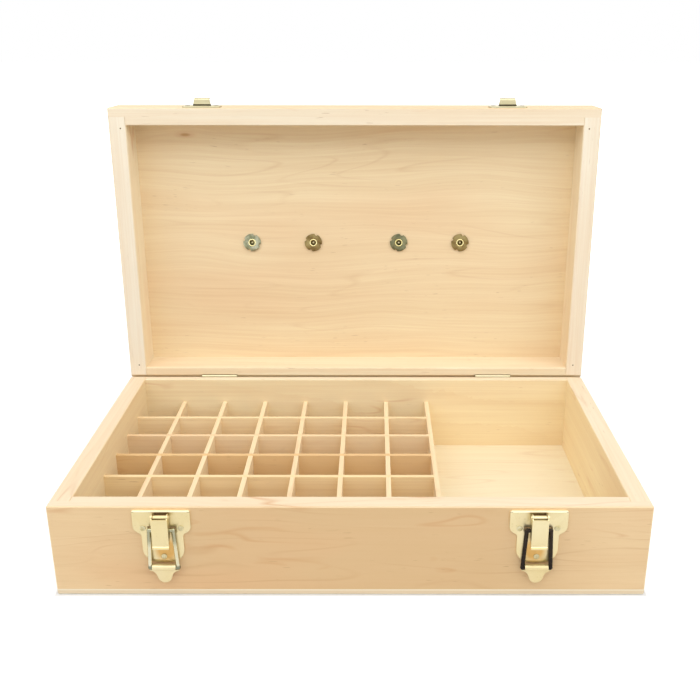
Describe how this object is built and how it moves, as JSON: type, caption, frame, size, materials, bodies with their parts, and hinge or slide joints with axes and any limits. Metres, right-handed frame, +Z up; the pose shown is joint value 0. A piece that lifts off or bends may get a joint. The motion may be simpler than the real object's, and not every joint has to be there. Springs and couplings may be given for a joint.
{
  "type": "hinged wooden storage case",
  "caption": "Shallow wooden case with a grid of small compartments beside an open tray, a framed lid on two butt hinges, two front draw latches and a folding handle.",
  "frame": {"origin": "middle of the underside, on the surface the case stands on", "axes": "+X to the right across the case, +Y from the latches to the hinges, +Z up; the lid stands open"},
  "size_m": [0.366, 0.2708, 0.2798],
  "materials": {
    "board_wood": "pale sanded maple, unfinished",
    "panel_wood": "pale maple-faced plywood, unfinished",
    "divider_wood": "thin sanded strip, unfinished",
    "grip_wood": "turned and lacquered",
    "brass_plate": "pressed sheet with bright pale brass plating",
    "plated_fastener": "yellow zinc plating",
    "plated_nut": "dull yellow zinc plating"
  },
  "bodies": {
    "base": {"base_front_board": "board_wood", "base_back_board": "board_wood", "base_left_board": "board_wood", "base_right_board": "board_wood", "base_bottom_panel": "panel_wood", "long_divider_1": "divider_wood", "long_divider_2": "divider_wood", "long_divider_3": "divider_wood", "long_divider_4": "divider_wood", "long_divider_5": "divider_wood", "long_divider_6": "divider_wood", "tray_divider": "divider_wood", "cross_divider_1": "divider_wood", "cross_divider_2": "divider_wood", "cross_divider_3": "divider_wood", "cross_divider_4": "divider_wood", "cross_divider_5": "divider_wood", "left_hinge_base_leaf": "brass_plate", "left_hinge_pin": "plated_fastener", "right_hinge_base_leaf": "brass_plate", "right_hinge_pin": "plated_fastener", "hinge_base_screws": "plated_fastener", "left_latch_plate": "brass_plate", "left_latch_pin": "plated_fastener", "right_latch_plate": "brass_plate", "right_latch_pin": "plated_fastener", "latch_plate_screws": "plated_fastener"},
    "lid": {"lid_front_board": "board_wood", "lid_back_board": "board_wood", "lid_left_board": "board_wood", "lid_right_board": "board_wood", "lid_panel": "panel_wood", "left_hinge_lid_leaf": "brass_plate", "right_hinge_lid_leaf": "brass_plate", "hinge_lid_screws": "plated_fastener", "left_strike": "brass_plate", "right_strike": "brass_plate", "strike_screws": "plated_fastener", "tee_nuts": "plated_nut", "handle_bolts": "plated_fastener", "left_handle_bracket": "brass_plate", "right_handle_bracket": "brass_plate"},
    "left_latch_lever": {"left_lever": "brass_plate"},
    "left_latch_bail": {"left_bail": "brass_plate", "left_pull_tab": "brass_plate"},
    "right_latch_lever": {"right_lever": "brass_plate"},
    "right_latch_bail": {"right_bail": "brass_plate", "right_pull_tab": "brass_plate"},
    "handle": {"handle_rod": "brass_plate", "handle_grip": "grip_wood", "handle_ferrules": "brass_plate"}
  },
  "joints": [
    {"name": "lid_hinge", "type": "hinge", "parent": "base", "child": "lid", "pos_m": [0, 0.1027, 0.06265], "axis": [-1, 0, 0], "range_deg": [-91.5, 0]},
    {"name": "left_lever_pivot", "type": "hinge", "parent": "base", "child": "left_latch_lever", "pos_m": [-0.114, -0.1123, 0.0572], "axis": [-1, 0, 0], "range_deg": [0, 135]},
    {"name": "left_bail_pivot", "type": "hinge", "parent": "left_latch_lever", "child": "left_latch_bail", "pos_m": [-0.114, -0.1113, 0.0479], "axis": [1, 0, 0], "range_deg": [-179.34, 0]},
    {"name": "right_lever_pivot", "type": "hinge", "parent": "base", "child": "right_latch_lever", "pos_m": [0.114, -0.1123, 0.0572], "axis": [-1, 0, 0], "range_deg": [0, 135]},
    {"name": "right_bail_pivot", "type": "hinge", "parent": "right_latch_lever", "child": "right_latch_bail", "pos_m": [0.114, -0.1113, 0.0479], "axis": [1, 0, 0], "range_deg": [-179.34, 0]},
    {"name": "handle_pivot", "type": "hinge", "parent": "lid", "child": "handle", "pos_m": [0, 0.14717, 0.16602], "axis": [1, 0, 0], "range_deg": [0, 180]}
  ]
}
